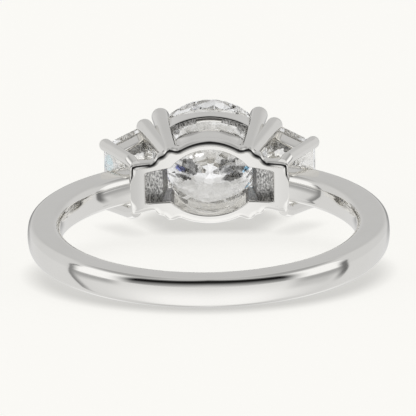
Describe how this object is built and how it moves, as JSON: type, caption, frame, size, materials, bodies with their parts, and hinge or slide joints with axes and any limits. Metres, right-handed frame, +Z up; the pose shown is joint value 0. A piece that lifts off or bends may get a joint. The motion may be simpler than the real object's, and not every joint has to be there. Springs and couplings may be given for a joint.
{
  "type": "three stone ring",
  "caption": "Ring worn on a finger: a round brilliant stone between two tapered side stones, held in prongs on a plate, cup and rails over a plain polished band.",
  "frame": {"origin": "centre of the finger hole, halfway along the finger", "axes": "+Y from the finger hole to the stones, which are lifted by the 6.5 degrees that the ring lies tipped; +X along the row of stones; +Z up from the surface the ring lies on"},
  "size_m": [0.0202, 0.0242, 0.0068],
  "materials": {
    "white_gold": "rhodium plated white gold, mirror polished",
    "diamond": "clear cut stone with polished facets"
  },
  "bodies": {
    "root": {"band_and_setting": "white_gold", "centre_stone": "diamond", "side_stone_left": "diamond", "side_stone_right": "diamond"}
  },
  "joints": []
}
